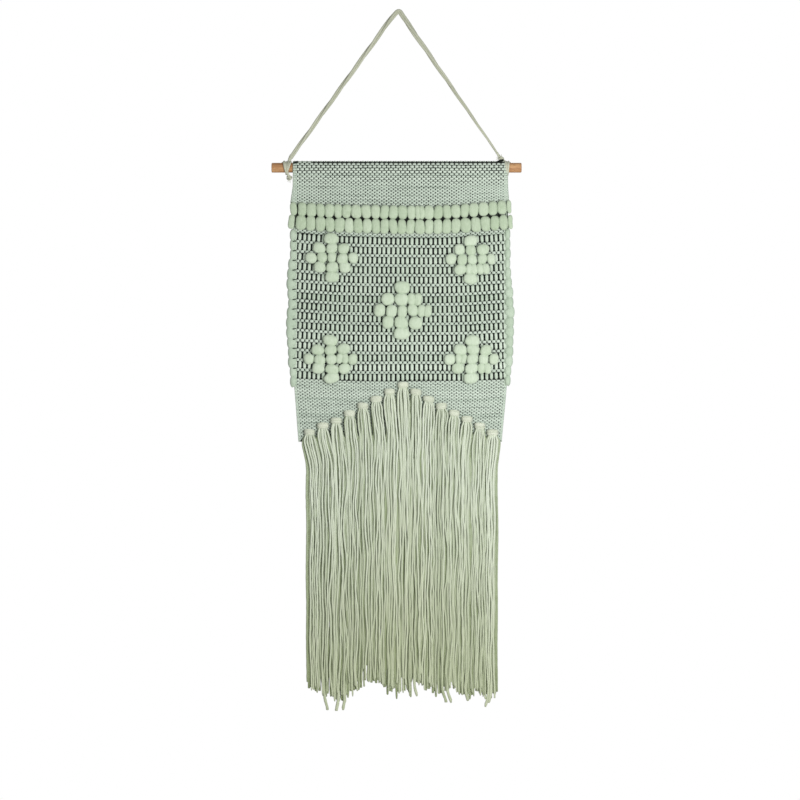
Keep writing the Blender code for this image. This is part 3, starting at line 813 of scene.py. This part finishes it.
def tassel_hank(number):
    """Loose strands that leave the knot side by side and hang in layers, each with kinks of its own."""
    low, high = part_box(f"tassel_{number:02d}")
    head_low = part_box(f"tassel_head_{number:02d}")[0]
    middle_x = (low.x + high.x) / 2
    top = head_low.z + 0.0018 - KNOT_LOWER[number - 1]
    yarns = Yarns(7)
    drift = -0.045 * middle_x + 0.0018  # the whole fringe hangs a little narrower than the row of knots
    common = rng.uniform(0, TURN)
    # how wide the front strands hang, and how far to one side
    gather, lean = rng.uniform(0.78, 1.12), rng.normal(0, 0.0008)
    strands = [(share, *layer) for layer in STRAND_LAYERS for share in np.linspace(-1, 1, layer[1])]
    front = range(STRAND_LAYERS[0][1])
    strays = {
        min(front, key=lambda index: abs(strands[index][0] - across)): end
        for across, end in STRAYS.get(number, ())
    }
    for index, (share, place_y, count, radius, light, spread) in enumerate(strands):
        foot = HANK_FOOT[number - 1] - rng.normal(0, 0.0030)
        foot += rng.uniform(0, 0.022) if rng.random() < 0.3 else 0  # three in ten are cut shorter
        foot = strays.get(index, foot)
        drop = np.append(np.arange(0.0, top - foot, STRAND_STEP), top - foot)
        share = share + rng.uniform(-0.35, 0.35) / count
        opens = smooth_step(drop / rng.uniform(0.009, 0.014))
        widens = smooth_step((drop - (top - CLOTH_END) + 0.012) / 0.016)
        settles = smooth_step(drop / 0.05)
        x = middle_x + drift * settles + (knot_x(middle_x) - middle_x) * (1 - settles)
        x = x + share * (0.0037 + 0.0026 * opens + (spread - 0.0063) * widens)
        loose = 1.0 if light > 0.3 else 0.35
        if light > 0.3:
            x = x + (share * spread * (gather - 1) + lean) * settles
        x = x + 0.0007 * loose * settles * np.sin(drop / 0.017 + common)
        for wavelength, height in STRAND_KINKS:
            length = wavelength * rng.uniform(0.8, 1.3)
            kink = height * rng.normal(0, 0.8) * ripple(drop, TURN / length)
            x = x + kink * loose * opens
        x = x + smooth_step((drop - 0.2) / 0.18) * rng.normal(0, 0.0012) * loose
        y = place_y + rng.normal(0, 0.0003) + 0.0026 * (1 - opens)
        y = y + 0.0006 * ripple(drop, TURN / rng.uniform(0.03, 0.08)) * opens
        y = np.minimum(y, CLOTH_FRONT - radius)
        thick = radius * rng.uniform(0.86, 1.12) * (1 + 0.07 * ripple(drop, TURN / 0.013))
        if index in strays:  # the plies of a stray end part and fluff
            thick = thick * (1 + 0.75 * smooth_step((drop - drop[-1] + 0.03) / 0.012))
            x = x + 0.0034 * rng.choice([-1.0, 1.0]) * smooth_step((drop - drop[-1] + 0.022) / 0.022) ** 2
        thick[-1] *= 0.55
        # Painted shade: the deeper layers take a darker, olive tone, with a random spread of their own
        shade = float(np.clip(light + rng.normal(0, 0.13), 0.0, 1.0))
        yarns.lay(np.stack([x, y, top - drop], axis=1), (0.0, -1.0, 0.0), thick, thick * 0.92, shade)
    obj = yarns.finish(f"tassel_strands_{number:02d}", TASSEL_YARN, None)
    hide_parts(f"tassel_{number:02d}")
    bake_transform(obj)
    return obj


# ---------------------------------------------------------------- cord and dowel

def mid_height(name):
    """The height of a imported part's middle."""
    low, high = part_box(name)
    return (low.z + high.z) / 2


def twisted(yarns, route, half, plies, lay, ply_radius):
    """Plies twisted round route at half their common width."""
    route = np.asarray(route)
    run = unit(np.gradient(route, axis=0))
    side = unit(np.cross(run, (0.0, -1.0, 0.0)))
    over = np.cross(side, run)
    length = distances(route)
    for ply in range(plies):
        turn = TURN * (ply / plies + length / lay)
        out = half[:, None] * (np.cos(turn)[:, None] * side + np.sin(turn)[:, None] * over)
        yarns.lay(route + out, over, ply_radius, ply_radius, tone())


def resampled(points, step):
    """The same path with a point at about every step, and its length."""
    length = distances(points)
    even = np.linspace(0.0, length[-1], int(length[-1] / step) + 1)
    return np.stack([np.interp(even, length, points[:, axis]) for axis in range(3)], axis=1), length[-1]


def hanging_cord():
    """The cord over the nail: three plies in a long, slack twist, drawn thin towards its right end."""
    route, length = resampled(through(CORD_ROUTE, 8), 0.0016)
    yarns = Yarns(9)
    share = np.linspace(0.0, 1.0, len(route))
    half = np.interp(
        share, [0.0, 0.4, 0.5, 0.56, 0.8, 1.0], [0.00145, 0.0016, 0.0017, 0.0018, 0.00125, 0.00072]
    )
    twisted(yarns, route, half, 3, 0.14, half * 1.06)
    obj = yarns.finish("hanging_cord_plies", CORD_YARN, "hanger")
    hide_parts("hanging_cord")
    return obj, route, length


def hitch(name, inner, outer, drawn, turns, lead, tail):
    """The cord's turns round the dowel, fanned out on top from inner to outer and drawn together below.

    turns gives the lightness and rise of each. lead and tail give points and the thickness at each end.
    """
    yarns = Yarns(10)
    for turn, (light, rise) in enumerate(turns):
        t = np.linspace(0.0, 1.0, 48)
        angle = math.pi / 2 + 0.5 - TURN * t
        fan = np.clip(0.5 + 0.5 * np.sin(angle), 0.14, 1.0) ** 0.75
        across = inner + (outer - inner) * (turn + t) / len(turns)
        x = drawn + (across - drawn) * fan + 0.0002 * np.sin(9 * t + turn)
        radius = DOWEL_RADIUS + 0.0012 + rise * (0.45 + 0.55 * np.sin(math.pi * t))
        aim = np.stack([0 * t, -np.cos(angle), np.sin(angle)], axis=1)
        route = np.stack([x, 0 * t, DOWEL_Z + 0 * t], axis=1) + radius[:, None] * aim
        yarns.lay(route, aim, 0.00122 + 0.00024 * np.sin(8 * t + 2 * turn), 0.00122, light)
    for points, start, end in (lead, tail):
        curve = through(points, 6)
        thick = np.linspace(start, end, len(curve))
        yarns.lay(curve, (0.0, -1.0, 0.0), thick, thick * 0.8, tone())
    obj = yarns.finish(f"{name}_turns", CORD_YARN, "hanger")
    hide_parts(name)
    return obj


def knot(name, tail, fibres, lift=0.0):
    """A small overhand knot with its cut end teased out into fibres."""
    low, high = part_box(name)
    middle, size = np.array((low + high) / 2) + (0.0, 0.0, lift), np.array(high - low) / 2
    t = np.linspace(0.0, TURN, 90)
    ring = 2 + np.cos(3 * t)
    loop = np.stack([ring * np.cos(2 * t), 1.5 * np.sin(3 * t), ring * np.sin(2 * t)], axis=1) / 3
    yarns = Yarns(8)
    yarns.lay(middle + loop * (size - 0.0009), (0.0, -1.0, 0.0), 0.00150, 0.00140, tone())
    for _ in range(fibres):
        aim = unit(np.array(tail) + rng.normal(0, 0.34, 3))
        reach = rng.uniform(0.0035, 0.0072)
        s = np.linspace(0.0, 1.0, 7)[:, None]
        curl = np.cross(aim, unit(rng.normal(0, 1, 3))) * 0.0012 * s**2
        fibre = middle + rng.normal(0, 0.0006, 3) + aim * s * reach + curl
        flat = unit(np.cross(aim, (0.3, 0.2, 0.9)))
        yarns.lay(fibre, flat, 0.00034 * (1 - 0.5 * s[:, 0]), 0.0003, tone())
    obj = yarns.finish(f"{name}_yarn", CORD_YARN, "hanger")
    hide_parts(name)
    return obj


def seam_stitches():
    """Running stitches through the turned-over end, at the back of the sleeve."""
    low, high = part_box("sleeve_seam")
    yarns = Yarns(6)
    x = low.x
    while x < high.x - 0.005:
        long = rng.uniform(0.0046, 0.0056)  # of one stitch
        t = np.linspace(0.0, 1.0, 7)
        y = BACK_LAYER_Y + 0.0006 + 0.0015 * np.sin(math.pi * t) ** 0.5
        z = SEAM_Z - 0.0015 + rng.normal(0, 0.00015) + 0 * t
        yarns.lay(np.stack([x + long * t, y, z], axis=1), (0.0, 1.0, 0.0), 0.0004, 0.0004, tone())
        x += long + 0.0032
    obj = yarns.finish("sleeve_stitches", THREAD, "panel")
    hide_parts("sleeve_seam")
    return obj


def dowel_rod():
    """A round rod with its sawn ends broken by a small chamfer."""
    bpy.ops.object.select_all(action="DESELECT")
    bpy.ops.mesh.primitive_cylinder_add(
        vertices=72, radius=DOWEL_RADIUS, depth=DOWEL_HIGH.x - DOWEL_LOW.x,
        location=((DOWEL_HIGH.x + DOWEL_LOW.x) / 2, 0.0, DOWEL_Z), rotation=(0.0, math.pi / 2, 0.0),
    )
    rod = bpy.context.active_object
    rod.name = "dowel_rod"
    bpy.ops.object.transform_apply(location=True, rotation=True, scale=True)
    ends = rod.modifiers.new("broken ends", "BEVEL")
    ends.width, ends.segments, ends.limit_method = 0.0011, 2, "ANGLE"
    bpy.ops.object.modifier_apply(modifier=ends.name)
    bpy.ops.object.shade_smooth_by_angle(angle=math.radians(50))
    rod.data.materials.clear()
    rod.data.materials.append(WOOD)
    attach(rod, "hanger")
    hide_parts("dowel")
    return rod


# ---------------------------------------------------------------- studio

FLOOR_Z = -1.35
LENS, SENSOR = 138.0, 36.0  # millimetres
VIEW_DISTANCE, VIEW_Z = 4.0, -0.5044


def studio():
    """A pale floor, a white surround, large soft lights in front and behind, and the camera."""
    scene = bpy.context.scene
    scene.view_settings.view_transform = "Standard"
    world = bpy.data.worlds.new("white_surround")
    scene.world = world
    world.use_nodes = True
    tree = world.node_tree
    tree.nodes.clear()
    seen = add(tree, "LightPath").outputs["Is Camera Ray"]
    lit = add(tree, "Background", {"Color": (1.0, 1.0, 1.0, 1.0), "Strength": 0.34})
    backdrop = add(tree, "Background", {"Color": (1.0, 1.0, 1.0, 1.0), "Strength": 1.0})
    both = add(tree, "MixShader", {0: seen, 1: lit.outputs[0], 2: backdrop.outputs[0]})
    add(tree, "OutputWorld", {"Surface": both.outputs[0]})
    middle = Vector((0.0, 0.0, -0.5))
    for name, place, size, power in (
        ("key", (0.42, -1.08, -0.46), 0.5, 11.2),
        ("fill", (-1.2, -2.0, 0.2), 1.4, 6.0),
        ("back", (0.8, 2.2, 0.6), 1.6, 16.0),
    ):
        data = bpy.data.lights.new(name, "AREA")
        data.shape, data.size, data.energy = "DISK", size, power
        lamp = bpy.data.objects.new(name, data)
        scene.collection.objects.link(lamp)
        lamp.location = place
        lamp.visible_camera = False
        lamp.rotation_euler = (middle - lamp.location).to_track_quat("-Z", "Y").to_euler()
    bpy.ops.object.select_all(action="DESELECT")
    bpy.ops.mesh.primitive_circle_add(vertices=96, radius=2.0, fill_type="NGON", location=(0, 0, FLOOR_Z))
    floor = bpy.context.active_object
    floor.name = "floor"
    floor.data.materials.append(pale_floor())
    lens = bpy.data.cameras.new("camera")
    lens.lens, lens.sensor_width = LENS, SENSOR
    camera = bpy.data.objects.new("camera", lens)
    scene.collection.objects.link(camera)
    camera.location = (0.0, -VIEW_DISTANCE, VIEW_Z)
    camera.rotation_euler = (math.pi / 2, 0.0, 0.0)
    scene.camera = camera


# ---------------------------------------------------------------- assembly

studio()
cord, cord_path, cord_length = hanging_cord()
end_left, end_right = CORD_ROUTE[0], CORD_ROUTE[-1]
top, under = DOWEL_Z + DOWEL_RADIUS + 0.0010, DOWEL_Z - DOWEL_RADIUS
left_knot_z, right_knot_z = mid_height("left_knot"), mid_height("right_knot")
ties = [
    hitch(
        "left_hitch", inner=-0.1424, outer=-0.1534, drawn=-0.1476,
        turns=((0.75, 0.0002), (0.35, 0.0009), (0.95, 0.0003), (0.6, 0.0010)),
        lead=(
            [(end_left[0] + 0.0020, 0.0, end_left[2] + 0.003), end_left, (-0.1452, -0.0012, top)],
            0.0029, 0.0020,
        ),
        tail=(
            [(-0.1470, -0.0056, under), (-0.1456, -0.0046, under - 0.003), (-0.1446, -0.0010, left_knot_z)],
            0.0017, 0.0013,
        ),
    ),
    hitch(
        "right_hitch", inner=0.1368, outer=0.1440, drawn=0.1396,
        turns=((0.7, 0.0006), (0.35, 0.0001), (0.9, 0.0008)),
        lead=(
            [(end_right[0] - 0.0015, 0.0, end_right[2] + 0.002), (0.1318, 0.0, right_knot_z),
             (0.1375, -0.0010, top)],
            0.0016, 0.0017,
        ),
        tail=(
            [(0.1394, -0.0052, under), (0.1400, -0.0034, under - 0.002), (0.1402, 0.0010, under - 0.004)],
            0.0014, 0.0012,
        ),
    ),
    knot("left_knot", (0.1, -0.5, -0.8), 14, lift=0.0014),
    knot("right_knot", (-0.4, -0.4, 0.5), 18),
]
dowel_rod()

all_warps = WARPS + 2 * EDGE_WARPS
cuts = [EDGE_WARPS + WARPS * part // 3 for part in range(4)]
woven = [warp(f"black_warp_{part + 1}", cuts[part], cuts[part + 1], BLACK_WARP) for part in range(3)]
woven += [
    warp("edge_warp_left", 0, EDGE_WARPS, PALE_WARP),
    warp("edge_warp_right", all_warps - EDGE_WARPS, all_warps, PALE_WARP),
    weft("lower_band_weft", ("lower",), WEFT),
    weft("pattern_thick_weft", ("thick",), THICK_WEFT),
    weft("pattern_thin_weft", ("thin",), WEFT),
    weft("upper_band_weft", ("upper",), WEFT),
    weft("sleeve_weft", ("sleeve", "fold"), WEFT),
    seam_stitches(),
    edge_ties(),
]
core, core_area = cloth_core()

loops = [
    roving_row("roving_row_upper", -0.1330, 0.1386, ROW_TOP - 0.0016, 0.0156, (-0.1430, 0.1450)),
    roving_row("roving_row_lower", -0.1358, 0.1402, ROW_SPLIT - 0.0018, 0.0172, (-0.1456, 0.1468)),
    selvedge(
        "left_selvedge_roving", -1, 0.1350, BODY_TOP + 0.0046,
        (0.1437, 0.1430, 0.1469, 0.1482, 0.1458, 0.1482, 0.1493, 0.1470, 0.1458, 0.1432),
    ),
    selvedge(
        "right_selvedge_roving", 1, 0.1366, BODY_TOP + 0.0060,
        (0.1434, 0.1440, 0.1444, 0.1458, 0.1484, 0.1493, 0.1484, 0.1480, 0.1468, 0.1440),
    ),
    *(diamond(place) for place in DIAMONDS),
]
tassels = []
for number in range(1, TASSELS + 1):
    tassels += [tassel_knot(number), tassel_hank(number)]
